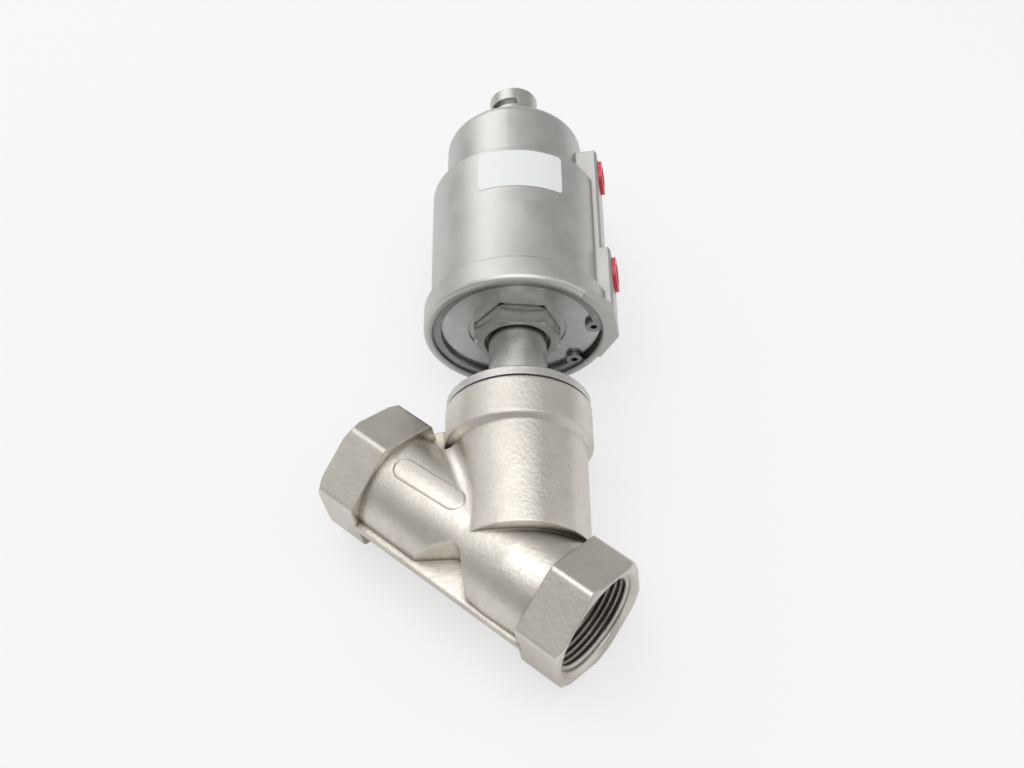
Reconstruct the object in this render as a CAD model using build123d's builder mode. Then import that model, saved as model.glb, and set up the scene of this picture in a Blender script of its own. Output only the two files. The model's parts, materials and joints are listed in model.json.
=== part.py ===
"""Pneumatic angle seat valve, DN32, lying on its side as it rests on a bench.

The body's flow axis is the frame's X axis, from the inlet port's mouth at x = 0 to the
outlet port.  The stem leaves it at an angle towards the outlet and carries a spring
return piston actuator.  All sizes are millimetres.
"""
import os
from math import asin, cos, degrees, radians, sin, sqrt, tan

from build123d import *

# ---- driving dimensions: the cast body ---------------------------------------------
body_length = 120.0            # face to face
stem_lean = 50.0               # angle between the stem and the flow axis
stem_foot_x = 37.5             # where the stem axis crosses the flow axis
hex_flats = 48.0               # across flats of both port hexagons
inlet_hex_length = 19.7
outlet_hex_length = 18.6
hex_corner_round = 2.5
hex_end_cut = 1.3              # turned chamfer on the hexagons' corners
hex_end_shoulder = 1.5         # how far outside the flats that chamfer starts
thread_r = 20.95               # G 1 1/4 pipe thread, bored plain at its full depth
thread_depth = 17.0
mouth_lead = 1.6               # lead-in chamfer at each port
mouth_flare = 1.95
passage_r = 17.2
tube_r = 21.8                  # outside of the straight flow tube
inlet_swell = 1.1              # the inlet side is this much fatter under the barrel
barrel_r = 27.3
barrel_foot_h = 7.5            # stem heights are measured from the flow axis
barrel_length = 44.2
neck_r = 29.9
neck_slope = 2.2
neck_length = 16.1
chamber_r = 23.2
seat_h = 12.0
seat_bore_r = 15.5
seat_land_r = 18.5
seat_ring_r = 19.6
seat_ring_depth = 5.0
seat_rise = 1.6
seat_wall = 4.0                # between the notch and the branch to the outlet
notch_apex_x = 57.4            # sharp corner of the V notch, before its rounding
notch_apex_y = 9.2
notch_outlet_run = 15.0        # along and across the flow, on the outlet side
notch_outlet_drop = 12.1
notch_inlet_run = 10.8
notch_inlet_drop = 12.1
notch_round = 5.0
keel_half = 2.5                # thin plate under the tube, which also fills the notch
keel_foot_y = 24.2
keel_overlap = 1.0             # how far the plate runs into the casting round it
gusset_half = 3.5
gusset_rise = 5.0              # from the hexagon's flat up to where it meets the neck

# ---- driving dimensions: bonnet, stem and trim --------------------------------------
gasket_thick = 1.2
collar_r = 29.5
collar_height = 4.4
collar_chamfer = 0.8
bonnet_hex_flats = 36.0
bonnet_hex_rise = 5.0
bonnet_screw_r = 24.6
bonnet_screw_length = 13.0
tube_outer_r = 12.15
tube_reach = 11.5              # of the neck tube, into the actuator's lip
tube_bore_r = 8.6
tube_guide_r = 6.6
guide_length = 9.0
packing_count = 4
packing_pitch = 2.6
chevron_rise = 1.2
washer_thick = 3.0
pack_spring_wire_r = 0.7
pack_spring_turns = 6
gland_length = 9.0
stem_r = 5.0
stem_thread_r = 4.0
thread_relief = 0.6
plug_r = 18.2
plug_boss_r = 9.0
plug_height = 13.0
disc_r = 17.4
disc_thick = 3.6
keeper_thick = 2.8
plug_nut_flats = 13.0
plug_nut_thick = 4.6
lift = 12.0                    # travel of plug and piston

# ---- driving dimensions: actuator ---------------------------------------------------
actuator_gap = 40.0            # from the neck's top to the lip
lip_r = 39.7
lip_height = 12.5
lip_edge = 2.4                 # round on the lip's lower edge
lip_shoulder = 1.2
shell_r = 36.8
shell_height = 61.6
shell_edge = 1.2
shell_roof = 3.9
crown_r = 30.6
crown_height = 33.9
crown_edge = 7.5
crown_roof = 6.0
mouth_bore_r = 35.9
mouth_chamfer = 0.6
cylinder_bore_r = 31.5
spring_bore_r = 26.6
ring_setback = 1.6             # from the lip's foot to the retaining ring
ring_thick = 2.0
ring_inner_r = 32.4
ring_groove_depth = 1.4
ring_lug_angle = 23.0          # each side of the ring's gap centre
ring_lug_margin = 4.0
ring_gap_turn = -23.0          # gap centre, from the stem plane
ring_lug_r = 3.5
ring_lug_hole_r = 1.4
cover_flange = 6.0
cover_spigot = 7.4
cover_recess = 0.6
cover_recess_r = 20.8
cover_hub_r = 17.5
seal_wall = 1.6                # metal beside the seals' grooves
cover_groove = 3.2
stem_groove = 2.6
nut_flats = 32.0
nut_thick = 8.6
nut_turn = -16.6
nut_relief_depth = 3.0
boss_turn = 4.0                # the pilot boss leans this far towards the upper side
boss_half = 9.0
boss_edge = 1.0
upper_port_rise = 7.4          # above the shell's top
upper_boss_face = 38.7
upper_boss_margin = 9.0
lower_port_rise = 26.0         # above the lip's foot
lower_boss_face = 42.2
lower_boss_margin = 8.6
boss_tail_rise = 4.0
port_r = 5.9
port_depth = 8.0
port_passage_r = 2.1
plug_flange_r = 7.6
plug_flange_thick = 1.7
plug_stub_length = 7.0
plug_wall = 1.3
cap_r = 11.1
cap_rise = 27.8
cap_bore_r = 6.9
cap_screw_wall = 2.0
cap_roof = 3.0
cap_edge = 1.2
window_rise = 16.6             # above the crown
window_height = 3.8
window_width = 13.4
window_round = 1.2
window_turn = -21.0
sight_wall = 0.9
piston_gap = 11.4              # over the cover's hub when the valve is shut
piston_thick = 11.0
piston_play = 0.5
piston_floor = 7.0
seal_groove_depth = 3.5
seal_groove_width = 4.0
guide_groove_depth = 2.1
guide_groove_width = 3.0
groove_wall = 1.5
well_r = 12.0
stem_ring_cord_r = 1.05
stem_seal_cord_r = 1.25
piston_washer_thick = 1.6
piston_nut_flats = 17.0
piston_nut_thick = 6.5
spring_mean_r = 21.6
spring_wire_r = 2.1
spring_turns = 5.0
spring_plate_thick = 1.6
rod_r = 3.4
rod_socket_r = 6.0
rod_socket_length = 6.0
rod_headroom = 1.8

# ---- clearances --------------------------------------------------------------------
running = 0.06                 # radial, where one metal piece slides in another
seal_play = 0.05               # radial, rubber and plastic against metal
thread_play = 0.03             # radial, in a screwed joint
groove_play = 0.1              # endwise, of a seal in its groove
loose = 0.35                   # where a piece passes another without touching


# ---- stem heights, worked out from the lengths above --------------------------------
barrel_shoulder_h = barrel_foot_h + barrel_length
neck_foot_h = barrel_shoulder_h + neck_slope
neck_top_h = neck_foot_h + neck_length
gasket_top_h = neck_top_h + gasket_thick
collar_top_h = gasket_top_h + collar_height
bonnet_foot_h = neck_top_h - bonnet_screw_length
packing_foot_h = bonnet_foot_h + guide_length
lip_foot_h = neck_top_h + actuator_gap
lip_top_h = lip_foot_h + lip_height
tube_top_h = lip_foot_h + tube_reach
ring_foot_h = lip_foot_h + ring_setback
ring_top_h = ring_foot_h + ring_thick
cover_foot_h = ring_top_h + running
cylinder_foot_h = ring_top_h + cover_flange
cover_recess_h = cover_foot_h + cover_recess
nut_foot_h = cover_recess_h - nut_thick
cover_roof_h = tube_top_h + groove_wall
stem_groove_foot_h = cover_roof_h + seal_wall
stem_groove_top_h = stem_groove_foot_h + stem_groove
cover_hub_top_h = stem_groove_top_h + seal_wall
cover_spigot_top_h = cylinder_foot_h + cover_spigot
shell_top_h = lip_top_h + shell_height
cylinder_top_h = shell_top_h - shell_roof
crown_top_h = shell_top_h + crown_height
spring_top_h = crown_top_h - crown_roof
upper_port_h = shell_top_h + upper_port_rise
upper_boss_top_h = upper_port_h + upper_boss_margin
lower_port_h = lip_foot_h + lower_port_rise
lower_boss_top_h = lower_port_h + lower_boss_margin
boss_tail_h = lip_foot_h + boss_tail_rise
cap_top_h = crown_top_h + cap_rise
cap_ceiling_h = cap_top_h - cap_roof
window_middle_h = crown_top_h + window_rise + window_height / 2
seat_face_h = seat_h + seat_rise
disc_top_h = seat_face_h + disc_thick
keeper_foot_h = seat_face_h - keeper_thick
plug_nut_foot_h = keeper_foot_h - plug_nut_thick
piston_foot_h = cover_hub_top_h + piston_gap
piston_top_h = piston_foot_h + piston_thick
well_floor_h = piston_foot_h + piston_floor
piston_washer_top_h = piston_top_h + piston_washer_thick
piston_nut_top_h = piston_washer_top_h + piston_nut_thick
stem_end_h = piston_nut_top_h + 2 * thread_relief
rod_top_h = cap_ceiling_h - lift - rod_headroom

# ---- other sizes worked out ---------------------------------------------------------
hex_corner_r = (hex_flats / 2 - hex_corner_round) / cos(radians(30)) + hex_corner_round
outlet_hex_x = body_length - outlet_hex_length
mouth_r = thread_r + mouth_flare
bush_mid_r = (stem_r + tube_bore_r) / 2
plug_bore_r = stem_thread_r + thread_play
cover_bore_r = tube_outer_r + thread_play
nut_relief_r = tube_outer_r + 1.5
groove_r = mouth_bore_r + ring_groove_depth
cap_screw_r = cap_r - cap_screw_wall


# ---- frame: how the valve lies ------------------------------------------------------
def lying_roll():
    """Roll about the flow axis at which the lip and both hexagons touch the ground."""
    reach = sin(radians(stem_lean))
    roll = 0.0
    for _ in range(20):
        lip_drop = (lip_r - lip_edge) * sqrt(1 - (sin(roll) * reach) ** 2) + lip_edge
        roll = asin((lip_drop - hex_corner_r * cos(roll)) / ((lip_foot_h + lip_edge) * reach))
    return roll


roll = lying_roll()
along = Vector(1, 0, 0)
side = Vector(0, sin(roll), cos(roll))             # square to the stem plane, upwards
under = side.cross(along)                          # away from the actuator
stem_dir = along * cos(radians(stem_lean)) - under * sin(radians(stem_lean))
stem_foot = along * stem_foot_x
stem_axis = Axis(stem_foot, stem_dir)
stem_plane = Plane(origin=stem_foot, x_dir=side, z_dir=stem_dir)
stem_section = Plane(origin=stem_foot, x_dir=side, z_dir=side.cross(stem_dir))
flow_section = Plane(origin=(0, 0, 0), x_dir=along, z_dir=along.cross(side))
mid_plane = Plane(origin=(0, 0, 0), x_dir=along, z_dir=side)
across_inlet = Plane(origin=(0, 0, 0), x_dir=side, z_dir=along)
boss_out = (stem_plane.y_dir * cos(radians(boss_turn))
            + stem_plane.x_dir * sin(radians(boss_turn)))


def outline(plane, *points):
    """A flat face inside a closed run of straight edges."""
    with BuildSketch(plane) as face:
        with BuildLine():
            Polyline(*points, close=True)
        make_face()
    return face.sketch


def turned(*points, mode=Mode.ADD):
    """Turn an outline of (radius, stem height) points about the stem."""
    revolve(outline(stem_section, *points), axis=stem_axis, mode=mode)


def rounded(plane, radius, *points):
    """A flat face inside a closed run of edges whose corners are rounded."""
    with BuildSketch(plane) as face:
        with BuildLine():
            FilletPolyline(*points, radius=radius, close=True)
        make_face()
    return face.sketch


def tube_of(inner, outer, foot, top):
    """The four corners of a plain ring's section."""
    return (inner, foot), (outer, foot), (outer, top), (inner, top)


def boss_plane(distance, height=0.0):
    """Plane facing out of the pilot boss, x across it and y up the stem."""
    foot = stem_foot + stem_dir * height + boss_out * distance
    return Plane(origin=foot, x_dir=stem_dir.cross(boss_out), z_dir=boss_out)


def save(builder, name):
    """Label the finished piece and write its STEP file."""
    builder.part.label = name
    export_step(builder.part, f"parts/{name}.step")


os.makedirs("parts", exist_ok=True)

# ---- valve body: one casting with two hexagon ports ---------------------------------
notch_slope = Vector(notch_outlet_run, notch_outlet_drop).normalized()
branch_shift = passage_r + seat_wall
branch_x = notch_apex_x + branch_shift * notch_slope.Y
branch_y = notch_apex_y - branch_shift * notch_slope.X
elbow_x = branch_x - branch_y * notch_slope.X / notch_slope.Y
branch_length = 30.0
branch_dir = (along * notch_slope.X + under * notch_slope.Y) * -1
elbow = along * elbow_x
notch_outlet_x = notch_apex_x + notch_outlet_run
notch_inlet_x = notch_apex_x - notch_inlet_run

with BuildPart() as valve_body:
    # flow tube, with the two hexagons on its ends
    with BuildSketch(across_inlet.offset(inlet_hex_length / 2)):
        Circle(tube_r)
    extrude(amount=outlet_hex_x + outlet_hex_length / 2 - inlet_hex_length / 2)
    for hex_start, hex_length in ((0, inlet_hex_length), (outlet_hex_x, outlet_hex_length)):
        with BuildSketch(across_inlet.offset(hex_start)):
            RegularPolygon(hex_flats / 2, 6, major_radius=False)
            fillet(vertices(), hex_corner_round)
        extrude(amount=hex_length)
    # round the hexagons' outer corners as a turned chamfer does
    with BuildSketch(flow_section):
        with BuildLine():
            Polyline((0, hex_flats / 2 + hex_end_shoulder), (hex_end_cut, hex_corner_r + running),
                     (body_length - hex_end_cut, hex_corner_r + running),
                     (body_length, hex_flats / 2 + hex_end_shoulder), (body_length, 0), (0, 0), close=True)
        make_face()
    revolve(axis=Axis.X, mode=Mode.INTERSECT)
    # slanted barrel and neck
    turned((0, barrel_foot_h), (barrel_r, barrel_foot_h), (barrel_r, barrel_shoulder_h),
           (neck_r, neck_foot_h), (neck_r, neck_top_h), (0, neck_top_h))
    # inlet side swells under the barrel and runs out into the tube
    with BuildSketch(flow_section):
        with BuildLine():
            Polyline((inlet_hex_length / 2, 0), (inlet_hex_length / 2, tube_r + inlet_swell / 2),
                     (stem_foot_x, tube_r + inlet_swell), (notch_apex_x, tube_r), (notch_apex_x, 0),
                     close=True)
        make_face()
    revolve(axis=Axis.X)
    # V notch under the seat wall, cut to twice its depth so that it runs clear of the casting
    notch = rounded(mid_plane, notch_round, (notch_apex_x, notch_apex_y),
                    (notch_apex_x + 2 * notch_outlet_run, notch_apex_y + 2 * notch_outlet_drop),
                    (notch_apex_x - 2 * notch_inlet_run, notch_apex_y + 2 * notch_inlet_drop))
    extrude(notch, amount=barrel_r, both=True, mode=Mode.SUBTRACT)
    # thin keel plate, which fills the middle of the notch
    plate_y = tube_r - keel_overlap
    keel = outline(mid_plane, (inlet_hex_length - keel_overlap, plate_y),
                   (notch_inlet_x - keel_overlap, plate_y),
                   (notch_apex_x, notch_apex_y - 2 * keel_overlap),
                   (notch_outlet_x + keel_overlap, plate_y), (outlet_hex_x + keel_overlap, plate_y),
                   (outlet_hex_x + keel_overlap, keel_foot_y), (inlet_hex_length - keel_overlap, keel_foot_y))
    extrude(keel, amount=keel_half, both=True)
    # gusset from the outlet hexagon up to the neck
    gusset_y = -hex_flats / 2
    gusset = outline(mid_plane, (outlet_hex_x - hex_flats / 3, -tube_r + 4), (outlet_hex_x + 4, -tube_r + 4),
                     (outlet_hex_x + 4, gusset_y), (outlet_hex_x - 1, gusset_y - gusset_rise),
                     (outlet_hex_x - hex_flats / 6, gusset_y - gusset_rise))
    extrude(gusset, amount=gusset_half, both=True)
    # passages: under the seat, over the seat, and the branch to the outlet
    with BuildSketch(across_inlet):
        Circle(passage_r)
    extrude(amount=stem_foot_x, mode=Mode.SUBTRACT)
    with Locations(stem_foot):
        Sphere(passage_r, mode=Mode.SUBTRACT)
    with BuildSketch(stem_plane):
        Circle(seat_bore_r)
    extrude(amount=seat_h, mode=Mode.SUBTRACT)
    turned((0, seat_h), (chamber_r, seat_h), (chamber_r, neck_top_h), (0, neck_top_h), mode=Mode.SUBTRACT)
    turned(*tube_of(chamber_r - 1, bonnet_screw_r + seal_play, bonnet_foot_h - 1, neck_top_h),
           mode=Mode.SUBTRACT)
    with BuildSketch(Plane(origin=elbow, z_dir=branch_dir)):
        Circle(passage_r)
    extrude(amount=branch_length, mode=Mode.SUBTRACT)
    with Locations(elbow):
        Sphere(passage_r, mode=Mode.SUBTRACT)
    with BuildSketch(across_inlet.offset(elbow_x)):
        Circle(passage_r)
    extrude(amount=body_length - elbow_x, mode=Mode.SUBTRACT)
    # whole seat ring, which the branch would otherwise cut into
    turned((seat_bore_r, seat_h - seat_ring_depth), (seat_ring_r, seat_h - seat_ring_depth),
           (seat_ring_r, seat_h), (seat_land_r, seat_h), (seat_land_r - 1, seat_face_h),
           (seat_bore_r, seat_face_h))
    # threaded ports, bored plain
    with BuildSketch(flow_section):
        with BuildLine():
            Polyline((0, 0), (0, mouth_r), (mouth_lead, thread_r), (thread_depth, thread_r),
                     (thread_depth, 0), close=True)
        make_face()
        with BuildLine():
            Polyline((body_length, 0), (body_length, mouth_r), (body_length - mouth_lead, thread_r),
                     (body_length - thread_depth, thread_r), (body_length - thread_depth, 0),
                     close=True)
        make_face()
    revolve(axis=Axis.X, mode=Mode.SUBTRACT)
save(valve_body, "valve_body")

# ---- body gasket ---------------------------------------------------------------------
with BuildPart() as body_gasket:
    turned(*tube_of(bonnet_screw_r + loose, collar_r - 0.8, neck_top_h, gasket_top_h))
save(body_gasket, "body_gasket")

# ---- bonnet: screwed collar and neck tube in one turning -----------------------------
with BuildPart() as bonnet:
    turned((tube_guide_r, bonnet_foot_h), (bonnet_screw_r - 1, bonnet_foot_h),
           (bonnet_screw_r, bonnet_foot_h + 1), (bonnet_screw_r, gasket_top_h),
           (collar_r, gasket_top_h), (collar_r, collar_top_h - collar_chamfer),
           (collar_r - collar_chamfer, collar_top_h), (tube_outer_r, collar_top_h),
           (tube_outer_r, tube_top_h), (tube_bore_r, tube_top_h), (tube_bore_r, packing_foot_h),
           (tube_guide_r, packing_foot_h))
    with BuildSketch(stem_plane.offset(collar_top_h)):
        RegularPolygon(bonnet_hex_flats / 2, 6, major_radius=False)
        Circle(tube_outer_r - 1, mode=Mode.SUBTRACT)
    extrude(amount=bonnet_hex_rise)
save(bonnet, "bonnet")

# ---- stem guide bush in the bonnet's foot --------------------------------------------
with BuildPart() as stem_guide:
    turned(*tube_of(stem_r + running, tube_guide_r, bonnet_foot_h + loose, packing_foot_h - loose))
save(stem_guide, "stem_guide")

# ---- packing: support ring, chevron rings, washer, spring and gland ------------------
support_top_h = packing_foot_h + washer_thick
with BuildPart() as packing_support:
    turned((stem_r + loose, packing_foot_h), (tube_bore_r, packing_foot_h), (tube_bore_r, support_top_h),
           (bush_mid_r, support_top_h + chevron_rise), (stem_r + loose, support_top_h))
save(packing_support, "packing_support")

chevron_height = packing_pitch - 2 * groove_play
with BuildPart() as chevron_rings:
    for index in range(packing_count):
        foot = support_top_h + groove_play + index * packing_pitch
        top = foot + chevron_height
        turned((stem_r + seal_play, foot), (bush_mid_r, foot + chevron_rise), (tube_bore_r - seal_play, foot),
               (tube_bore_r - seal_play, top), (bush_mid_r, top + chevron_rise), (stem_r + seal_play, top))
save(chevron_rings, "chevron_rings")

packing_top_h = support_top_h + groove_play + packing_count * packing_pitch
pack_spring_foot_h = packing_top_h + washer_thick
with BuildPart() as packing_washer:
    turned((stem_r + loose, packing_top_h), (bush_mid_r, packing_top_h + chevron_rise),
           (tube_bore_r - seal_play, packing_top_h), (tube_bore_r - seal_play, pack_spring_foot_h),
           (stem_r + loose, pack_spring_foot_h))
save(packing_washer, "packing_washer")


def coil(foot, top, mean_r, wire_r, turns):
    """A round wire coil about the stem between two stem heights."""
    rise = top - foot - 2 * wire_r
    helix = Helix(pitch=rise / turns, height=rise, radius=mean_r)
    helix = stem_plane.offset(foot + wire_r).location * helix
    with BuildSketch(Plane(origin=helix @ 0, z_dir=helix % 0)) as wire:
        Circle(wire_r)
    return wire.sketch, helix


gland_foot_h = tube_top_h - gland_length
with BuildPart() as packing_spring:
    pack_spring_r = tube_bore_r - seal_play - loose - pack_spring_wire_r
    wire, helix = coil(pack_spring_foot_h, gland_foot_h, pack_spring_r, pack_spring_wire_r, pack_spring_turns)
    sweep(wire, path=helix, is_frenet=True)
save(packing_spring, "packing_spring")

gland_rim_r = tube_outer_r - 1.6
gland_mouth_r = stem_r + 1.4
gland_rim = 1.2
with BuildPart() as gland_bush:
    turned((stem_r + running, gland_foot_h), (tube_bore_r, gland_foot_h), (tube_bore_r, tube_top_h),
           (gland_rim_r, tube_top_h), (gland_rim_r, tube_top_h + gland_rim),
           (gland_mouth_r, tube_top_h + gland_rim), (gland_mouth_r, tube_top_h - gland_rim),
           (stem_r + running, tube_top_h - gland_rim))
save(gland_bush, "gland_bush")


def o_ring(mid_r, height, cord_r):
    """A round cord ring about the stem."""
    with BuildSketch(stem_section) as cord:
        with Locations((mid_r, height)):
            Circle(cord_r)
    revolve(cord.sketch, axis=stem_axis)


# ---- spindle: stem, plug and piston travel together ----------------------------------
stem_tip_h = plug_nut_foot_h - 2 * thread_relief
with BuildPart() as stem:
    turned((0, stem_tip_h), (stem_thread_r - thread_relief, stem_tip_h),
           (stem_thread_r, stem_tip_h + thread_relief), (stem_thread_r, disc_top_h), (stem_r, disc_top_h),
           (stem_r, piston_foot_h), (stem_thread_r, piston_foot_h), (stem_thread_r, stem_end_h - thread_relief),
           (stem_thread_r - thread_relief, stem_end_h), (0, stem_end_h))
save(stem, "stem")

plug_bore = stem_r + thread_play
plug_lip_r = plug_r - 0.75
plug_top_h = seat_face_h + plug_height
plug_shoulder_h = disc_top_h + plug_height * 0.35
plug_slope = 1.5
with BuildPart() as plug:
    turned((plug_bore, disc_top_h), (plug_lip_r, disc_top_h), (plug_lip_r, seat_face_h + disc_thick / 4),
           (plug_r, seat_face_h + disc_thick / 4), (plug_r, plug_shoulder_h),
           (plug_boss_r + plug_slope, plug_shoulder_h + plug_slope),
           (plug_boss_r, plug_shoulder_h + 2 * plug_slope), (plug_boss_r, plug_top_h), (plug_bore, plug_top_h))
save(plug, "plug")

with BuildPart() as seal_disc:
    turned(*tube_of(plug_bore_r, disc_r, seat_face_h, disc_top_h))
save(seal_disc, "seal_disc")

keeper_r = seat_bore_r - 2.2
with BuildPart() as seal_keeper:
    turned((plug_bore_r, keeper_foot_h), (keeper_r - 1.2, keeper_foot_h), (keeper_r, seat_face_h),
           (plug_bore_r, seat_face_h))
save(seal_keeper, "seal_keeper")


def hex_nut(flats, foot, thick, bore_r, turn=0.0, shoulder=0.0):
    """Hexagon nut about the stem, its corners turned away outside the flats by the shoulder."""
    with BuildSketch(stem_plane.offset(foot)) as section:
        RegularPolygon(flats / 2, 6, major_radius=False, rotation=turn)
        Circle(bore_r, mode=Mode.SUBTRACT)
    extrude(section.sketch, amount=thick)
    rim_r = flats / 2 / cos(radians(30)) + running
    face_r = flats / 2 + shoulder
    cut = (rim_r - face_r) * tan(radians(30))
    revolve(outline(stem_section, (0, foot), (face_r, foot), (rim_r, foot + cut),
                    (rim_r, foot + thick - cut), (face_r, foot + thick), (0, foot + thick)),
            axis=stem_axis, mode=Mode.INTERSECT)


with BuildPart() as plug_nut:
    hex_nut(plug_nut_flats, plug_nut_foot_h, plug_nut_thick, plug_bore_r)
save(plug_nut, "plug_nut")

piston_r = cylinder_bore_r - piston_play
seal_groove_foot_h = piston_foot_h + groove_wall
seal_groove_top_h = seal_groove_foot_h + seal_groove_width
seal_groove_r = cylinder_bore_r - seal_groove_depth
guide_groove_foot_h = seal_groove_top_h + groove_wall * 0.8
guide_groove_top_h = guide_groove_foot_h + guide_groove_width
guide_groove_r = cylinder_bore_r - guide_groove_depth
stem_ring_foot_h = piston_foot_h + groove_wall
stem_ring_top_h = stem_ring_foot_h + 2 * (stem_ring_cord_r + groove_play)
stem_ring_mid_r = plug_bore_r + stem_ring_cord_r
stem_ring_out_r = stem_ring_mid_r + stem_ring_cord_r
with BuildPart() as piston:
    turned((plug_bore_r, piston_foot_h), (piston_r - 1, piston_foot_h), (piston_r, piston_foot_h + 1),
           (piston_r, seal_groove_foot_h), (seal_groove_r, seal_groove_foot_h),
           (seal_groove_r, seal_groove_top_h), (piston_r, seal_groove_top_h),
           (piston_r, guide_groove_foot_h), (guide_groove_r, guide_groove_foot_h),
           (guide_groove_r, guide_groove_top_h), (piston_r, guide_groove_top_h), (piston_r, piston_top_h),
           (spring_bore_r, piston_top_h), (spring_bore_r, well_floor_h), (well_r, well_floor_h),
           (well_r, piston_top_h), (plug_bore_r, piston_top_h), (plug_bore_r, stem_ring_top_h),
           (stem_ring_out_r, stem_ring_top_h), (stem_ring_out_r, stem_ring_foot_h),
           (plug_bore_r, stem_ring_foot_h))
save(piston, "piston")

lip_out_r = cylinder_bore_r - seal_play
seal_root_r = seal_groove_r + seal_play
seal_foot_h = seal_groove_foot_h + groove_play
seal_top_h = seal_groove_top_h - groove_play
seal_lip = 0.9
slot_mid_r = (seal_root_r + lip_out_r) / 2
slot_depth = 1.8
with BuildPart() as piston_seal:
    turned((seal_root_r, seal_foot_h), (lip_out_r - seal_lip, seal_foot_h),
           (lip_out_r - seal_lip, seal_foot_h + seal_lip), (lip_out_r, seal_top_h - seal_lip),
           (lip_out_r - seal_lip / 2, seal_top_h), (slot_mid_r + seal_lip / 2, seal_top_h),
           (slot_mid_r + seal_lip / 4, seal_top_h - slot_depth),
           (slot_mid_r - seal_lip / 4, seal_top_h - slot_depth), (slot_mid_r - seal_lip / 2, seal_top_h),
           (seal_root_r, seal_top_h))
save(piston_seal, "piston_seal")

with BuildPart() as guide_band:
    turned(*tube_of(guide_groove_r + seal_play, cylinder_bore_r - seal_play,
                    guide_groove_foot_h + groove_play, guide_groove_top_h - groove_play))
save(guide_band, "guide_band")

with BuildPart() as piston_o_ring:
    o_ring(stem_ring_mid_r, (stem_ring_foot_h + stem_ring_top_h) / 2, stem_ring_cord_r)
save(piston_o_ring, "piston_o_ring")

with BuildPart() as piston_washer:
    turned(*tube_of(plug_bore_r, well_r - loose, piston_top_h, piston_washer_top_h))
save(piston_washer, "piston_washer")

with BuildPart() as piston_nut:
    hex_nut(piston_nut_flats, piston_washer_top_h, piston_nut_thick, plug_bore_r)
save(piston_nut, "piston_nut")

socket_top_h = piston_nut_top_h + rod_socket_length
socket_slope = rod_socket_r - rod_r
rod_tip = 1.2
with BuildPart() as indicator_rod:
    turned((plug_bore_r, piston_nut_top_h), (rod_socket_r, piston_nut_top_h), (rod_socket_r, socket_top_h),
           (rod_r, socket_top_h + socket_slope), (rod_r, rod_top_h - rod_tip), (rod_r - rod_tip, rod_top_h),
           (0, rod_top_h), (0, stem_end_h + loose), (plug_bore_r, stem_end_h + loose))
save(indicator_rod, "indicator_rod")

# ---- bottom cover, its seals and the lock nut ----------------------------------------
flange_r = mouth_bore_r - running
spigot_r = cylinder_bore_r - running
cover_step_h = cylinder_foot_h - running
cover_groove_foot_h = cylinder_foot_h + seal_wall
cover_groove_top_h = cover_groove_foot_h + cover_groove
cover_ring_cord_r = cover_groove / 2 - 4 * groove_play
cover_ring_mid_r = spigot_r - cover_ring_cord_r
cover_groove_r = cover_ring_mid_r - cover_ring_cord_r - seal_play
stem_seal_mid_r = stem_r + seal_play + stem_seal_cord_r
stem_seal_out_r = stem_seal_mid_r + stem_seal_cord_r
cover_edge = 0.6
with BuildPart() as bottom_cover:
    turned((stem_r + running, cover_roof_h), (cover_bore_r, cover_roof_h), (cover_bore_r, cover_recess_h),
           (cover_recess_r, cover_recess_h), (cover_recess_r, cover_foot_h), (flange_r - cover_edge, cover_foot_h),
           (flange_r, cover_foot_h + cover_edge), (flange_r, cover_step_h),
           (spigot_r, cover_step_h), (spigot_r, cover_groove_foot_h), (cover_groove_r, cover_groove_foot_h),
           (cover_groove_r, cover_groove_top_h), (spigot_r, cover_groove_top_h),
           (spigot_r, cover_spigot_top_h - 1), (spigot_r - 1, cover_spigot_top_h),
           (cover_hub_r, cover_spigot_top_h), (cover_hub_r - 1, cover_hub_top_h),
           (stem_r + running, cover_hub_top_h), (stem_r + running, stem_groove_top_h),
           (stem_seal_out_r, stem_groove_top_h), (stem_seal_out_r, stem_groove_foot_h),
           (stem_r + running, stem_groove_foot_h))
save(bottom_cover, "bottom_cover")

with BuildPart() as cover_o_ring:
    o_ring(cover_ring_mid_r, (cover_groove_foot_h + cover_groove_top_h) / 2, cover_ring_cord_r)
save(cover_o_ring, "cover_o_ring")

with BuildPart() as stem_o_ring:
    o_ring(stem_seal_mid_r, (stem_groove_foot_h + stem_groove_top_h) / 2, stem_seal_cord_r)
save(stem_o_ring, "stem_o_ring")

nut_shoulder = 1.3
with BuildPart() as lock_nut:
    hex_nut(nut_flats, nut_foot_h, nut_thick, cover_bore_r, nut_turn, nut_shoulder)
    turned((0, nut_foot_h), (nut_relief_r + mouth_chamfer, nut_foot_h),
           (nut_relief_r, nut_foot_h + mouth_chamfer), (nut_relief_r, nut_foot_h + nut_relief_depth),
           (0, nut_foot_h + nut_relief_depth), mode=Mode.SUBTRACT)
save(lock_nut, "lock_nut")

# ---- actuator housing with the pilot boss --------------------------------------------
boss_root = cylinder_bore_r / 2
with BuildPart() as upper_block:
    with BuildSketch(boss_plane(boss_root, lower_port_h)):
        Rectangle(2 * boss_half, upper_boss_top_h - lower_port_h, align=(Align.CENTER, Align.MIN))
    extrude(amount=upper_boss_face - boss_root)
    front = upper_block.faces().sort_by(Axis(stem_foot, boss_out))[-1]
    chamfer(front.edges(), boss_edge)

with BuildPart() as lower_block:
    with BuildSketch(boss_plane(boss_root, boss_tail_h)):
        Rectangle(2 * boss_half, lower_boss_top_h - boss_tail_h, align=(Align.CENTER, Align.MIN))
    extrude(amount=lower_boss_face - boss_root)
    front = lower_block.faces().sort_by(Axis(stem_foot, boss_out))[-1]
    chamfer(front.edges().sort_by(stem_axis)[1:], boss_edge)

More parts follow.
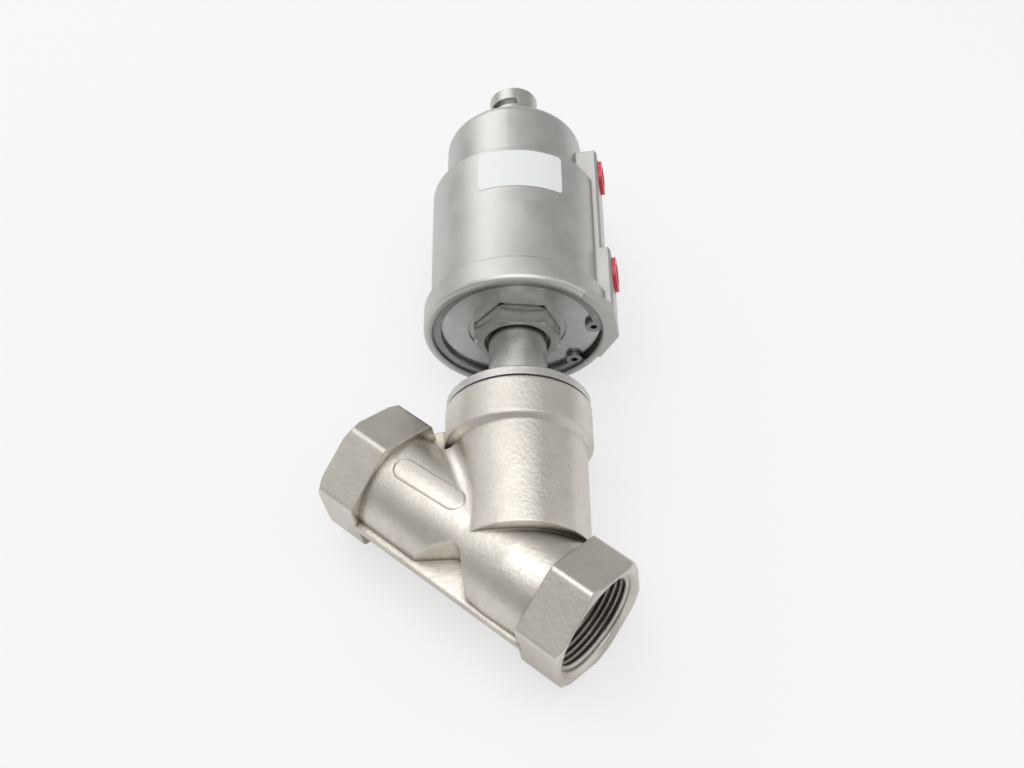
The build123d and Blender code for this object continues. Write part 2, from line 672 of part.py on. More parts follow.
with BuildPart() as housing:
    with BuildSketch(stem_section):
        with BuildLine():
            Polyline((0, lip_foot_h), (lip_r - lip_edge, lip_foot_h))
            RadiusArc((lip_r - lip_edge, lip_foot_h), (lip_r, lip_foot_h + lip_edge), -lip_edge)
            Polyline((lip_r, lip_foot_h + lip_edge), (lip_r, lip_top_h - lip_shoulder),
                     (lip_r - lip_shoulder, lip_top_h), (shell_r, lip_top_h),
                     (shell_r, shell_top_h - shell_edge))
            RadiusArc((shell_r, shell_top_h - shell_edge), (shell_r - shell_edge, shell_top_h),
                      -shell_edge)
            Polyline((shell_r - shell_edge, shell_top_h), (crown_r, shell_top_h),
                     (crown_r, crown_top_h - crown_edge))
            RadiusArc((crown_r, crown_top_h - crown_edge), (crown_r - crown_edge, crown_top_h),
                      -crown_edge)
            Polyline((crown_r - crown_edge, crown_top_h), (0, crown_top_h), (0, lip_foot_h))
        make_face()
    revolve(axis=stem_axis)
    # long pilot boss, its thicker foot and the flare that joins it to the lip
    add(upper_block.part)
    add(lower_block.part)
    corner_away = sqrt(boss_half ** 2 + lower_boss_face ** 2)
    touch = degrees(asin(boss_half / corner_away)) + degrees(asin(sqrt(1 - (lip_r / corner_away) ** 2)))
    flare_plane = Plane(origin=stem_foot + stem_dir * lip_foot_h, x_dir=boss_out, z_dir=stem_dir)
    touch_x = lip_r * cos(radians(touch))
    touch_y = lip_r * sin(radians(touch))
    flare = outline(flare_plane, (0, 0), (touch_x, -touch_y), (lower_boss_face, -boss_half),
                    (lower_boss_face, boss_half), (touch_x, touch_y))
    extrude(flare, amount=boss_tail_h - lip_foot_h)
    # mouth, ring groove, cylinder bore and spring chamber
    turned((0, lip_foot_h), (mouth_bore_r + mouth_chamfer, lip_foot_h),
           (mouth_bore_r, lip_foot_h + mouth_chamfer), (mouth_bore_r, ring_foot_h), (groove_r, ring_foot_h),
           (groove_r, ring_top_h), (mouth_bore_r, ring_top_h), (mouth_bore_r, cylinder_foot_h),
           (cylinder_bore_r, cylinder_foot_h), (cylinder_bore_r, cylinder_top_h),
           (spring_bore_r, cylinder_top_h), (spring_bore_r, spring_top_h),
           (cap_screw_r + thread_play, spring_top_h), (cap_screw_r + thread_play, crown_top_h),
           (0, crown_top_h), mode=Mode.SUBTRACT)
    # pilot ports
    for port_h, face in ((upper_port_h, upper_boss_face), (lower_port_h, lower_boss_face)):
        with BuildSketch(boss_plane(face, port_h)):
            Circle(port_r)
        extrude(amount=-port_depth, mode=Mode.SUBTRACT)
        with BuildSketch(boss_plane(face - port_depth, port_h)):
            Circle(port_passage_r)
        extrude(amount=spring_bore_r - 4 - face + port_depth, mode=Mode.SUBTRACT)
save(housing, "housing")

# ---- retaining ring with two lugs ----------------------------------------------------
with BuildPart() as retaining_ring:
    with BuildSketch(stem_plane.offset(ring_foot_h)):
        Circle(groove_r - thread_play)
        Circle(ring_inner_r, mode=Mode.SUBTRACT)
        gap_middle = 90 - ring_gap_turn
        gap_reach = 2 * groove_r
        gap_half = ring_lug_angle - ring_lug_margin
        with BuildLine():
            Polyline((0, 0), (gap_reach * cos(radians(gap_middle - gap_half)),
                              gap_reach * sin(radians(gap_middle - gap_half))),
                     (gap_reach * cos(radians(gap_middle + gap_half)),
                      gap_reach * sin(radians(gap_middle + gap_half))), close=True)
        make_face(mode=Mode.SUBTRACT)
        with PolarLocations(ring_inner_r, 2, start_angle=gap_middle - ring_lug_angle,
                            angular_range=2 * ring_lug_angle, endpoint=True):
            Circle(ring_lug_r)
            Circle(ring_lug_hole_r, mode=Mode.SUBTRACT)
    extrude(amount=ring_thick)
save(retaining_ring, "retaining_ring")

# ---- springs plates, main spring, indicator cap --------------------------------------
lower_plate_top_h = well_floor_h + spring_plate_thick
with BuildPart() as lower_spring_plate:
    turned(*tube_of(well_r + loose, spring_bore_r - loose, well_floor_h, lower_plate_top_h))
save(lower_spring_plate, "lower_spring_plate")

upper_plate_foot_h = spring_top_h - spring_plate_thick
with BuildPart() as upper_spring_plate:
    turned(*tube_of(cap_screw_r, spring_bore_r - seal_play, upper_plate_foot_h, spring_top_h))
save(upper_spring_plate, "upper_spring_plate")

with BuildPart() as main_spring:
    wire, helix = coil(lower_plate_top_h, upper_plate_foot_h, spring_mean_r, spring_wire_r, spring_turns)
    sweep(wire, path=helix, is_frenet=True)
save(main_spring, "main_spring")

with BuildPart() as indicator_cap:
    turned((cap_bore_r, spring_top_h + loose), (cap_screw_r, spring_top_h + loose),
           (cap_screw_r, crown_top_h), (cap_r, crown_top_h), (cap_r, cap_top_h - cap_edge),
           (cap_r - cap_edge, cap_top_h), (0, cap_top_h), (0, cap_ceiling_h), (cap_bore_r, cap_ceiling_h))
    window_out = stem_plane.x_dir * cos(radians(window_turn)) + stem_plane.y_dir * sin(radians(window_turn))
    window_middle = stem_foot + stem_dir * window_middle_h
    with BuildSketch(Plane(origin=window_middle, x_dir=stem_dir.cross(window_out), z_dir=window_out)):
        RectangleRounded(window_width, window_height, window_round)
    extrude(amount=cap_r + 1, both=True, mode=Mode.SUBTRACT)
save(indicator_cap, "indicator_cap")

with BuildPart() as sight_sleeve:
    sleeve_r = cap_bore_r - seal_play
    turned(*tube_of(sleeve_r - sight_wall, sleeve_r, crown_top_h, cap_ceiling_h))
save(sight_sleeve, "sight_sleeve")

with BuildPart() as rod_bush:
    turned(*tube_of(rod_r + running, cap_bore_r - thread_play, spring_top_h + 1.0, crown_top_h))
save(rod_bush, "rod_bush")

# ---- pilot port plugs ----------------------------------------------------------------
for name, port_h, face in (("upper_port_plug", upper_port_h, upper_boss_face),
                           ("lower_port_plug", lower_port_h, lower_boss_face)):
    with BuildPart() as port_plug:
        with BuildSketch(boss_plane(face, port_h)):
            Circle(plug_flange_r)
        extrude(amount=plug_flange_thick)
        with BuildSketch(boss_plane(face, port_h)):
            Circle(port_r - seal_play)
        extrude(amount=-plug_stub_length)
        with BuildSketch(boss_plane(face + plug_flange_thick, port_h)):
            Circle(port_r - plug_wall)
        extrude(amount=-(plug_flange_thick + plug_stub_length - plug_wall), mode=Mode.SUBTRACT)
    save(port_plug, name)
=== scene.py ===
"""Finish, light and camera for the pneumatic angle seat valve, in metres."""
import json
import math

import bmesh
import bpy
from mathutils import Matrix, Vector


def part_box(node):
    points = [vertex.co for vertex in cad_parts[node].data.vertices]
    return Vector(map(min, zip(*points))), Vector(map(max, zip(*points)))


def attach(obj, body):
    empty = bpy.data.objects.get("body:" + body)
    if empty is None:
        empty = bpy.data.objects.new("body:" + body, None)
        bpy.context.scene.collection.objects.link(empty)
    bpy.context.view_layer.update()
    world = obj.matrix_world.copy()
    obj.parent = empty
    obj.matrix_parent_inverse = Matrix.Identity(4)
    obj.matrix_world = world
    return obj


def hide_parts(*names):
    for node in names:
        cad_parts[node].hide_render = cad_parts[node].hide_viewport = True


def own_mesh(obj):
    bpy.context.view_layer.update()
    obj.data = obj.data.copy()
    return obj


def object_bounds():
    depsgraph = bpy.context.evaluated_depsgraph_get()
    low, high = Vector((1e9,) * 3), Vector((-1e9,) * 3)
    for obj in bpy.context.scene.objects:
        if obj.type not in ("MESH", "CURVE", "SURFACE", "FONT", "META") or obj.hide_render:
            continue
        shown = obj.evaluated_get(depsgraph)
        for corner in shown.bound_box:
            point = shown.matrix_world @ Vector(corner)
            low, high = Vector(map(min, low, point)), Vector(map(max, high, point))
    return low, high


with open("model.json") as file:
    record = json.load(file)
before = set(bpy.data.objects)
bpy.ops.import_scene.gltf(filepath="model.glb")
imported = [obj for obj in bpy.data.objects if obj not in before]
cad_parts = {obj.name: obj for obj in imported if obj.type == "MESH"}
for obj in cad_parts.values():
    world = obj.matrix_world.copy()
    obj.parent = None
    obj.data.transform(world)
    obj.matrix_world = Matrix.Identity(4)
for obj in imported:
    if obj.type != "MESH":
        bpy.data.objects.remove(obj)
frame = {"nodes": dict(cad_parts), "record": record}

cad_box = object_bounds()
MM = 0.001

# ---- where the valve's axes run, from the frame --------------------------------------
joints = {joint["name"]: joint for joint in frame["record"]["behaviour"]["joints"]}
stem_foot = Vector(joints["actuator_turn"]["pos_m"])
stem_dir = Vector(joints["actuator_turn"]["axis"]).normalized()
along = Vector((1, 0, 0))
side = stem_dir.cross(along).normalized()          # square to the stem plane, upwards
right = stem_dir.cross(side).normalized()          # the side that the pilot boss is on
under = side.cross(along).normalized()             # away from the actuator


def matrix_of(origin, x_dir, y_dir, z_dir):
    """Matrix that carries local axes to the three directions given."""
    turn = Matrix((x_dir, y_dir, z_dir)).transposed().to_4x4()
    return Matrix.Translation(origin) @ turn


stem_place = matrix_of(stem_foot, side, right, stem_dir)      # z up the stem, x upwards
flow_place = matrix_of(Vector((0, 0, 0)), side, under * -1, along)
body_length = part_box("valve_body")[1][0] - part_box("valve_body")[0][0]
ground = cad_box[0][2]

# ---- sizes of the solids that the pieces made here sit on -----------------------------
shell_r = 36.8 * MM
tube_r = 21.8 * MM              # outlet tube
barrel_r = 27.3 * MM            # slanted barrel under the bonnet

# ---- sizes of the pieces made here ---------------------------------------------------
sharp_angle = math.radians(40)  # edges steeper than this stay crisp
weld_reach = 0.002 * MM
skin_thick = 0.8 * MM           # of the pieces that lie on the casting

blend_r = 6.0 * MM              # cast round between the barrel and the outlet tube
blend_least = 0.6 * MM
blend_grows = (15, 45)          # degrees round the tube, from its top
blend_fades = (75, 102)
blend_lift = 0.02 * MM

thread_root_r = 20.93 * MM
thread_crest_r = 19.5 * MM
thread_pitch = 2.309 * MM       # G 1 1/4
thread_crest_flat = 0.3 * MM
thread_root_gap = 0.02 * MM
thread_start = 1.2 * MM
thread_turns = 6.4
thread_fade = 0.5 * thread_pitch
thread_least = 0.05             # share of the full height left at both ends
thread_steps = 96               # per turn

spring_span = (148.8 * MM, 210.4 * MM)              # foot and top of the closing spring, shut
spring_turns = 5.0
spring_wire_r = 2.1 * MM
spring_mean_r = 21.6 * MM
spring_steps = 48               # per turn
spring_sides = 16

label_foot = 161.5 * MM
label_height = 20.0 * MM
label_half_angle = math.radians(29)
label_turn = math.radians(9.5)
label_thick = 0.12 * MM
label_corner = 1.6 * MM
label_lift = 0.02 * MM

pad_middle_x = 81.0 * MM
pad_length = 33.0 * MM
pad_height = 9.4 * MM
pad_rise = 0.5 * MM
pad_sink = 0.25 * MM
pad_margin = 1.2 * MM
pad_edge = 0.9 * MM
pad_turn = math.radians(2.6)
pad_slope = math.radians(3.0)


# ---- node helpers --------------------------------------------------------------------
def new_material(name):
    """A node material, with its shader and its object coordinates."""
    material = bpy.data.materials.new(name)
    material.use_nodes = True
    nodes = material.node_tree.nodes
    nodes.clear()
    output = nodes.new("ShaderNodeOutputMaterial")
    shader = nodes.new("ShaderNodeBsdfPrincipled")
    place = nodes.new("ShaderNodeTexCoord")
    material.node_tree.links.new(shader.outputs["BSDF"], output.inputs["Surface"])
    return material, shader, place.outputs["Object"]


def add(material, kind, **inputs):
    """Add a node, with sockets set from values or linked from other sockets."""
    tree = material.node_tree
    node = tree.nodes.new("ShaderNode" + kind)
    for name, value in inputs.items():
        socket = node.inputs[name]
        if isinstance(value, bpy.types.NodeSocket):
            tree.links.new(value, socket)
        else:
            socket.default_value = value
    return node


def noise(material, place, size, detail=3.0, rough=0.55):
    """Soft random pattern whose lumps are about size across, in metres."""
    node = add(material, "TexNoise", Vector=place, Scale=1.0 / size, Detail=detail, Roughness=rough)
    return node.outputs["Fac"]


def ramp(material, value, low, high, foot=0.3, top=0.7):
    """Map a pattern to a number that runs from low to high."""
    node = add(material, "MapRange", Value=value)
    node.inputs["From Min"].default_value = foot
    node.inputs["From Max"].default_value = top
    node.inputs["To Min"].default_value = low
    node.inputs["To Max"].default_value = high
    return node.outputs["Result"]


def mixed(material, factor, colour_a, colour_b):
    """Blend two colours by a factor, each a value or a socket."""
    node = material.node_tree.nodes.new("ShaderNodeMix")
    node.data_type = "RGBA"
    # the colour sockets of a Mix node share their names with others, so they go by number
    for index, value in ((0, factor), (6, colour_a), (7, colour_b)):
        if isinstance(value, bpy.types.NodeSocket):
            material.node_tree.links.new(value, node.inputs[index])
        else:
            node.inputs[index].default_value = value
    return node.outputs[2]


def rounded_bump(material, shader, layers, edge):
    """Stack bump layers, each a (pattern, depth), over edges rounded by edge if it isn't 0."""
    normal = None
    if edge:
        bevel = add(material, "Bevel", Radius=edge)
        bevel.samples = 4
        normal = bevel.outputs["Normal"]
    for pattern, depth in layers:
        bump = add(material, "Bump", Height=pattern, Distance=depth, Strength=1.0)
        if normal is not None:
            material.node_tree.links.new(normal, bump.inputs["Normal"])
        normal = bump.outputs["Normal"]
    material.node_tree.links.new(normal, shader.inputs["Normal"])


def shaded_corners(material, tone, dark, reach):
    """Painted shade: darken a colour in corners and creases as deep as reach, by ambient occlusion.
    """
    node = add(material, "AmbientOcclusion", Distance=reach)
    node.samples = 6
    return mixed(material, ramp(material, node.outputs["AO"], 1.0, 0.0, 0.35, 0.85), tone, dark)


def rgb(red, green, blue):
    return (red, green, blue, 1.0)


# ---- materials -----------------------------------------------------------------------
def cast_steel(name, edge):
    """Pickled investment casting: warm grey and sandy, with darker stains."""
    material, shader, place = new_material(name)
    link = material.node_tree.links.new
    cloud = noise(material, place, 16 * MM, 4.0)
    stain = noise(material, place, 2.2 * MM, 6.0, 0.75)
    warm = mixed(material, ramp(material, cloud, 0.0, 1.0),
                 rgb(0.63, 0.60, 0.545), rgb(0.74, 0.705, 0.64))
    tone = mixed(material, ramp(material, stain, 0.0, 0.45, 0.48, 0.72),
                 warm, rgb(0.50, 0.46, 0.39))
    # painted shade: the colour darkens in corners and creases up to 4 mm deep
    tone = shaded_corners(material, tone, rgb(0.20, 0.185, 0.155), 4 * MM)
    link(tone, shader.inputs["Base Color"])
    shader.inputs["Metallic"].default_value = 1.0
    link(ramp(material, stain, 0.27, 0.42), shader.inputs["Roughness"])
    sand = noise(material, place, 0.5 * MM, 2.0)
    dimple = noise(material, place, 1.9 * MM, 3.0)
    rounded_bump(material, shader, ((dimple, 0.11 * MM), (sand, 0.05 * MM)), edge)
    return material


def blasted_steel():
    """Fine bead blasted stainless steel of the actuator."""
    material, shader, place = new_material("blasted_stainless")
    link = material.node_tree.links.new
    cloud = noise(material, place, 15 * MM, 4.0)
    grain = noise(material, place, 0.35 * MM, 2.0)
    tone = mixed(material, ramp(material, cloud, 0.0, 1.0),
                 rgb(0.52, 0.515, 0.495), rgb(0.60, 0.595, 0.575))
    # painted shade: the colour darkens in corners and creases up to 2.5 mm deep
    tone = shaded_corners(material, tone, rgb(0.22, 0.215, 0.20), 2.5 * MM)
    link(tone, shader.inputs["Base Color"])
    shader.inputs["Metallic"].default_value = 1.0
    link(ramp(material, cloud, 0.36, 0.46), shader.inputs["Roughness"])
    rounded_bump(material, shader, ((grain, 0.022 * MM),), 0.5 * MM)
    return material


def turned_steel(name, colour, rough):
    """Fine turned steel with a few handling marks."""
    material, shader, place = new_material(name)
    link = material.node_tree.links.new
    smudge = noise(material, place, 6 * MM, 4.0, 0.6)
    fine = noise(material, place, 0.25 * MM, 1.0)
    tone = mixed(material, ramp(material, smudge, 0.0, 1.0),
                 rgb(*colour), rgb(*(0.85 * part for part in colour)))
    # painted shade: the colour darkens in corners and creases up to 2 mm deep
    tone = shaded_corners(material, tone, rgb(*(0.3 * part for part in colour)), 2 * MM)
    link(tone, shader.inputs["Base Color"])
    shader.inputs["Metallic"].default_value = 1.0
    link(ramp(material, smudge, rough - 0.04, rough + 0.07), shader.inputs["Roughness"])
    rounded_bump(material, shader, ((fine, 0.006 * MM),), 0.2 * MM)
    return material


def moulded(name, colour, rough, coat=0.0):
    """Plastic or rubber with a faint moulded grain."""
    material, shader, place = new_material(name)
    link = material.node_tree.links.new
    cloud = noise(material, place, 4 * MM, 3.0)
    grain = noise(material, place, 0.4 * MM, 2.0)
    tone = mixed(material, ramp(material, cloud, 0.0, 1.0),
                 rgb(*colour), rgb(*(0.85 * part for part in colour)))
    link(tone, shader.inputs["Base Color"])
    link(ramp(material, cloud, rough - 0.05, rough + 0.05), shader.inputs["Roughness"])
    shader.inputs["Coat Weight"].default_value = coat
    rounded_bump(material, shader, ((grain, 0.01 * MM),), 0.2 * MM)
    return material


def neck_steel():
    """Pickled bar steel of the bonnet and its neck tube, with a sandy speckle."""
    material, shader, place = new_material("neck_steel")
    link = material.node_tree.links.new
    speckle = noise(material, place, 0.9 * MM, 4.0, 0.7)
    cloud = noise(material, place, 8 * MM, 3.0)
    tone = mixed(material, ramp(material, speckle, 0.0, 1.0, 0.35, 0.65),
                 rgb(0.68, 0.67, 0.65), rgb(0.54, 0.53, 0.51))
    link(tone, shader.inputs["Base Color"])
    shader.inputs["Metallic"].default_value = 1.0
    link(ramp(material, cloud, 0.32, 0.42), shader.inputs["Roughness"])
    rounded_bump(material, shader, ((speckle, 0.03 * MM),), 0.35 * MM)
    return material


def label_film():
    """Plain white plastic film with a faint sheen and no print."""
    material, shader, place = new_material("label_film")
    handled = noise(material, place, 9 * MM, 2.0)
    material.node_tree.links.new(ramp(material, handled, 0.30, 0.36), shader.inputs["Roughness"])
    shader.inputs["Base Color"].default_value = rgb(0.74, 0.75, 0.755)
    waver = noise(material, place, 5 * MM, 1.0)
    rounded_bump(material, shader, ((waver, 0.01 * MM),), 0.1 * MM)
    return material


finishes = {
    "cast_stainless": cast_steel("cast_stainless", 1.3 * MM),
    "cast_round": cast_steel("cast_round", 0.0),
    "blasted_stainless": blasted_steel(),
    "turned_stainless": turned_steel("turned_stainless", (0.60, 0.595, 0.58), 0.38),
    "cover_face": turned_steel("cover_face", (0.58, 0.575, 0.56), 0.17),
    "nut_steel": turned_steel("nut_steel", (0.53, 0.52, 0.50), 0.33),
    "neck_steel": neck_steel(),
    "polished_stem": turned_steel("polished_stem", (0.66, 0.66, 0.66), 0.16),
    "phosphated_spring_steel": turned_steel("phosphated_spring_steel", (0.33, 0.33, 0.325), 0.28),
    "spring_steel": turned_steel("spring_steel", (0.35, 0.36, 0.37), 0.3),
    "piston_aluminium": turned_steel("piston_aluminium", (0.75, 0.75, 0.76), 0.35),
    "ptfe_white": moulded("ptfe_white", (0.84, 0.83, 0.79), 0.45),
    "clear_sleeve": moulded("clear_sleeve", (0.88, 0.88, 0.86), 0.18, coat=0.4),
    "carbon_filled_ptfe": moulded("carbon_filled_ptfe", (0.12, 0.12, 0.12), 0.5),
    "seal_rubber": moulded("seal_rubber", (0.025, 0.025, 0.025), 0.55),
    "gasket_dark": moulded("gasket_dark", (0.05, 0.05, 0.05), 0.7),
    "red_plastic": moulded("red_plastic", (0.62, 0.02, 0.045), 0.3, coat=0.3),
    "indicator_orange": moulded("indicator_orange", (0.75, 0.17, 0.03), 0.35),
    "label_film": label_film(),
}

slot_of = {part["node"]: part["material_slot"] for part in frame["record"]["subparts"]}
own_finish = {"bottom_cover": "cover_face", "lock_nut": "nut_steel", "bonnet": "neck_steel"}
for node_name, node in frame["nodes"].items():
    node.data.materials.clear()
    finish = own_finish.get(node_name, slot_of[node_name])
    node.data.materials.append(finishes[finish])


# ---- mesh helpers --------------------------------------------------------------------
def make_piece(name, shape, place, body, finish_name, smooth=True):
    """Turn a bmesh, moved by place, into an object that rides on a body."""
    bmesh.ops.remove_doubles(shape, verts=shape.verts, dist=weld_reach)
    bmesh.ops.recalc_face_normals(shape, faces=shape.faces)
    bmesh.ops.transform(shape, matrix=place, verts=shape.verts)
    mesh = bpy.data.meshes.new(name)
    shape.to_mesh(mesh)
    shape.free()
    for polygon in mesh.polygons:
        polygon.use_smooth = smooth
    if smooth:
        mesh.set_sharp_from_angle(angle=sharp_angle)
    piece = bpy.data.objects.new(name, mesh)
    bpy.context.scene.collection.objects.link(piece)
    piece.data.materials.append(finishes[finish_name])
    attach(piece, body)
    return piece


def eased(value):
    """Smooth step from 0 to 1."""
    value = max(0.0, min(1.0, value))
    return value * value * (3 - 2 * value)


def eased_over(value, span):
    """Smooth step that runs from 0 at the start of a span to 1 at its end."""
    low, high = span
    return eased((value - low) / (high - low))


def pipe_thread(name, face_x, inwards):
    """Helical ridge inside a port, faded in at the mouth and out at the root."""
    shape = bmesh.new()
    half = thread_pitch / 2 - thread_root_gap
    flat = thread_crest_flat / 2
    section = ((-half, thread_root_r), (-flat, thread_crest_r),
               (flat, thread_crest_r), (half, thread_root_r))
    corners = [shape.verts.new((ring_r, 0, x)) for x, ring_r in section]
    shape.faces.new(corners)
    steps = int(thread_steps * thread_turns)
    rise = thread_pitch * thread_turns
    bmesh.ops.spin(shape, geom=shape.verts[:] + shape.edges[:] + shape.faces[:], cent=(0, 0, 0),
                   axis=(0, 0, 1), dvec=(0, 0, rise / steps), angle=2 * math.pi * thread_turns,
                   steps=steps, use_merge=False, use_duplicate=False)
    crest_limit = (thread_root_r + thread_crest_r) / 2
    for vertex in shape.verts:
        ring_r = math.hypot(vertex.co.x, vertex.co.y)
        if ring_r < crest_limit:
            reach = min(vertex.co.z + half, rise + half - vertex.co.z) / thread_fade
            height = (thread_root_r - ring_r) * max(thread_least, min(1.0, reach))
            vertex.co.xy *= (thread_root_r - height) / ring_r
    start = face_x + inwards * (thread_start + half)
    into_port = along * inwards
    place = matrix_of(Vector((start, 0, 0)), side, side.cross(into_port) * -1, into_port)
    return make_piece(name, shape, place, "valve", "cast_stainless", smooth=False)


threads = (pipe_thread("inlet_thread", 0.0, 1), pipe_thread("outlet_thread", body_length, -1))


def blank_label():
    """White film label wrapped round the shell, with nothing printed on it."""
    shape = bmesh.new()
    bmesh.ops.create_grid(shape, x_segments=48, y_segments=20, size=0.5)
    half_width = label_half_angle * shell_r
    half_height = label_height / 2
    for vertex in shape.verts:
        x = vertex.co.x * 2 * half_width
        y = vertex.co.y * label_height
        over_x = abs(x) - (half_width - label_corner)
        over_y = abs(y) - (half_height - label_corner)
        if over_x > 0 and over_y > 0:
            shrink = label_corner / max(label_corner, math.hypot(over_x, over_y))
            x = math.copysign(half_width - label_corner + over_x * shrink, x)
            y = math.copysign(half_height - label_corner + over_y * shrink, y)
        angle = label_turn + x / shell_r
        radius = shell_r + label_lift
        vertex.co = (radius * math.cos(angle), radius * math.sin(angle),
                     label_foot + half_height + y)
    bmesh.ops.recalc_face_normals(shape, faces=shape.faces)
    bmesh.ops.solidify(shape, geom=shape.faces[:], thickness=-label_thick)
    label = make_piece("type_label", shape, stem_place, "actuator", "label_film")


blank_label()


def raised_pad():
    """Bare stadium shaped pad that stands proud of the outlet tube."""
    shape = bmesh.new()
    bmesh.ops.create_grid(shape, x_segments=110, y_segments=48, size=0.5)
    end_r = pad_height / 2
    straight = pad_length / 2 - end_r
    for vertex in shape.verts:
        x = vertex.co.x * (pad_length + 2 * pad_margin)
        y = vertex.co.y * (pad_height + 2 * pad_margin)
        beyond = math.hypot(max(0.0, abs(x) - straight), y) - end_r
        rise = eased(0.5 - beyond / pad_edge)
        radius = tube_r - pad_sink + (pad_rise + pad_sink) * rise
        spot_x = x * math.cos(pad_slope) + y * math.sin(pad_slope)
        arc = (y * math.cos(pad_slope) - x * math.sin(pad_slope)) / tube_r + pad_turn
        vertex.co = (radius * math.cos(arc), radius * math.sin(arc), pad_middle_x + spot_x)
    bmesh.ops.recalc_face_normals(shape, faces=shape.faces)
    bmesh.ops.solidify(shape, geom=shape.faces[:], thickness=skin_thick)
    pad = make_piece("casting_pad", shape, flow_place, "valve", "cast_stainless")


raised_pad()


def cast_blend():
    """Hollow round that a ball rolled in the corner of barrel and outlet tube would leave."""
    shape = bmesh.new()
    bmesh.ops.create_grid(shape, x_segments=160, y_segments=10, size=0.5)
    reach = math.radians(blend_fades[1])
    lean_cos = stem_dir.dot(along)
    lean_sin = -stem_dir.dot(under)
    for vertex in shape.verts:
        turn = 2 * vertex.co.x * reach
        share = vertex.co.y + 0.5                  # 0 on the tube, 1 on the barrel
        from_top = math.degrees(abs(turn))
        strength = eased_over(from_top, blend_grows) * (1 - eased_over(from_top, blend_fades))
        ball = blend_least + blend_r * strength
        out = side * math.sin(turn) - under * math.cos(turn)
        off_tube = out * (tube_r + ball)
        across = math.sqrt((barrel_r + ball) ** 2 - off_tube.dot(side) ** 2)
        x = stem_foot.x + (across - off_tube.dot(under) * lean_cos) / lean_sin
        middle = off_tube + along * x
        on_stem = stem_foot + stem_dir * (middle - stem_foot).dot(stem_dir)
        from_barrel = (middle - on_stem).normalized()
        towards = out.slerp(from_barrel, share) if out.angle(from_barrel) > 0.001 else out
        vertex.co = middle - towards * (ball + blend_lift)
    bmesh.ops.recalc_face_normals(shape, faces=shape.faces)
    bmesh.ops.solidify(shape, geom=shape.faces[:], thickness=skin_thick)
    blend = make_piece("cast_blend", shape, Matrix.Identity(4), "valve", "cast_round")


cast_blend()


def closing_spring():
    """Round wire coil in place of the rigid one, drawn at its shut length."""
    foot_h, top_h = spring_span
    steps = int(spring_steps * spring_turns)
    rise = top_h - foot_h - 2 * spring_wire_r
    shape = bmesh.new()
    ring = bmesh.ops.create_circle(shape, cap_ends=True, segments=spring_sides,
                                   radius=spring_wire_r)
    lift_angle = math.atan2(rise, 2 * math.pi * spring_turns * spring_mean_r)
    bmesh.ops.rotate(shape, verts=ring["verts"], cent=(0, 0, 0),
                     matrix=Matrix.Rotation(math.pi / 2 + lift_angle, 3, "X"))
    bmesh.ops.translate(shape, verts=ring["verts"],
                        vec=(spring_mean_r, 0, foot_h + spring_wire_r))
    bmesh.ops.spin(shape, geom=shape.verts[:] + shape.edges[:] + shape.faces[:], cent=(0, 0, 0),
                   axis=(0, 0, 1), dvec=(0, 0, rise / steps), angle=2 * math.pi * spring_turns,
                   steps=steps, use_merge=False, use_duplicate=False)
    spring = make_piece("closing_spring", shape, stem_place, "actuator", "spring_steel")
    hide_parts("main_spring")
    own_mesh(spring)


closing_spring()


# ---- floor, light and camera ---------------------------------------------------------
floor_reach = 4.0               # metres, half the floor's width
world_light = 0.45              # strength that lights the valve
world_seen = 0.93               # strength that shows behind it
lamp_aim = (0.09, -0.06, 0.0)
camera_spot = Vector((-147.57, 215.77, 455.36)) * MM
camera_aim = Vector((69.84, -34.78, 54.91)) * MM
camera_roll = math.radians(-1.59)
camera_lens = 49.22
camera_sensor = 36.0


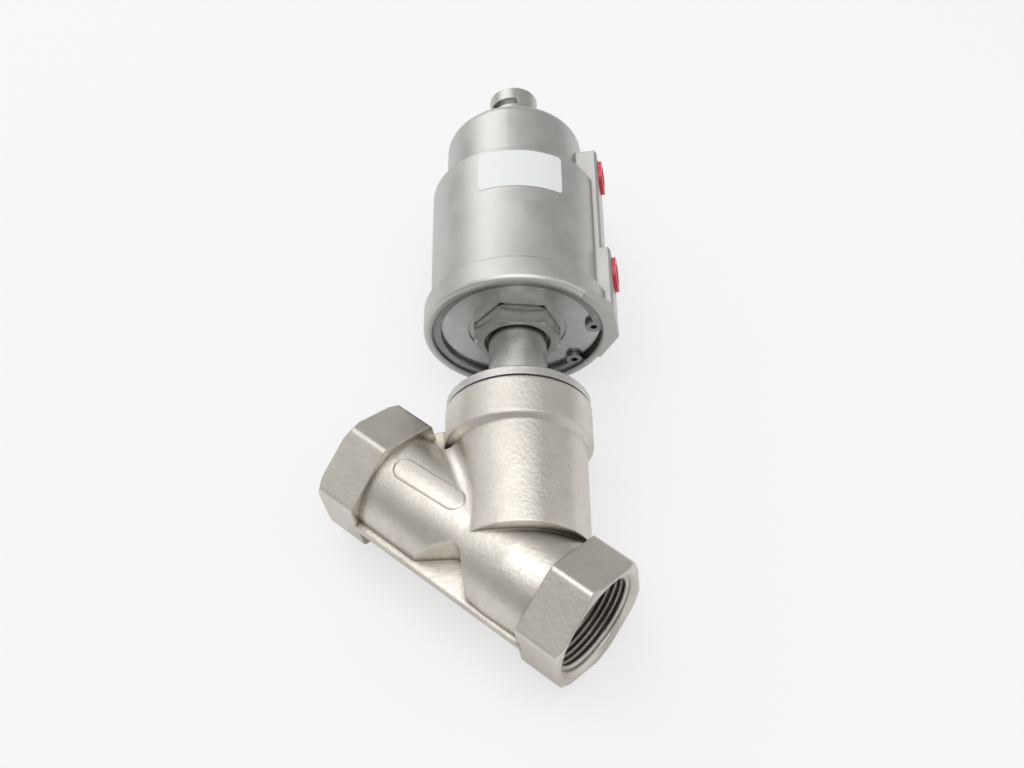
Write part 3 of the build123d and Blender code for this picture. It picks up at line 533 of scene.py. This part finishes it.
def pale_floor():
    """Wide pale floor. Camera rays see it near white, with the valve's soft shadow on it."""
    shape = bmesh.new()
    bmesh.ops.create_grid(shape, x_segments=1, y_segments=1, size=floor_reach)
    bmesh.ops.translate(shape, vec=(0, 0, ground), verts=shape.verts)
    mesh = bpy.data.meshes.new("floor")
    shape.to_mesh(mesh)
    shape.free()
    floor = bpy.data.objects.new("floor", mesh)
    bpy.context.scene.collection.objects.link(floor)
    material, shader, _ = new_material("pale_floor")
    path = material.node_tree.nodes.new("ShaderNodeLightPath")
    seen = path.outputs["Is Camera Ray"]
    tone = mixed(material, seen, rgb(0.85, 0.85, 0.855), rgb(0.26, 0.26, 0.26))
    material.node_tree.links.new(tone, shader.inputs["Base Color"])
    glow = mixed(material, seen, rgb(0, 0, 0), rgb(0.65, 0.65, 0.65))
    material.node_tree.links.new(glow, shader.inputs["Emission Color"])
    shader.inputs["Emission Strength"].default_value = 1.0
    shader.inputs["Roughness"].default_value = 0.9
    shader.inputs["Specular IOR Level"].default_value = 0.1
    floor.data.materials.append(material)


pale_floor()


def soft_box(name, spot, width, power):
    """Square studio lamp that faces the valve."""
    lamp = bpy.data.lights.new(name, "AREA")
    lamp.shape = "RECTANGLE"
    lamp.size = width
    lamp.size_y = width
    lamp.energy = power
    holder = bpy.data.objects.new(name, lamp)
    bpy.context.scene.collection.objects.link(holder)
    holder.location = spot
    facing = Vector(lamp_aim) - Vector(spot)
    holder.rotation_euler = facing.to_track_quat("-Z", "Y").to_euler()


# name, place and width in metres, watts
soft_box("overhead_box", (0.0, 0.1, 1.3), 1.4, 11.0)
soft_box("side_box", (1.1, -0.5, 0.7), 0.8, 3.0)
soft_box("window_box", (1.2, 0.45, 0.85), 1.4, 2.6)
soft_box("fill_box", (-1.0, -0.9, 0.6), 1.2, 2.4)

world = bpy.data.worlds.new("studio")
bpy.context.scene.world = world
world.use_nodes = True
backdrop = world.node_tree.nodes["Background"]
seen = world.node_tree.nodes.new("ShaderNodeLightPath")
level = world.node_tree.nodes.new("ShaderNodeMapRange")
level.inputs["To Min"].default_value = world_light
level.inputs["To Max"].default_value = world_seen
world.node_tree.links.new(seen.outputs["Is Camera Ray"], level.inputs["Value"])
world.node_tree.links.new(level.outputs["Result"], backdrop.inputs["Strength"])
backdrop.inputs["Color"].default_value = rgb(1.0, 1.0, 1.0)

camera_data = bpy.data.cameras.new("camera")
camera_data.lens = camera_lens
camera_data.sensor_width = camera_sensor
camera = bpy.data.objects.new("camera", camera_data)
bpy.context.scene.collection.objects.link(camera)
camera.location = camera_spot
look = (camera_aim - camera_spot).to_track_quat("-Z", "Y")
camera.rotation_euler = (look.to_matrix() @ Matrix.Rotation(camera_roll, 3, "Z")).to_euler()
bpy.context.scene.camera = camera

bpy.context.scene.view_settings.view_transform = "Standard"
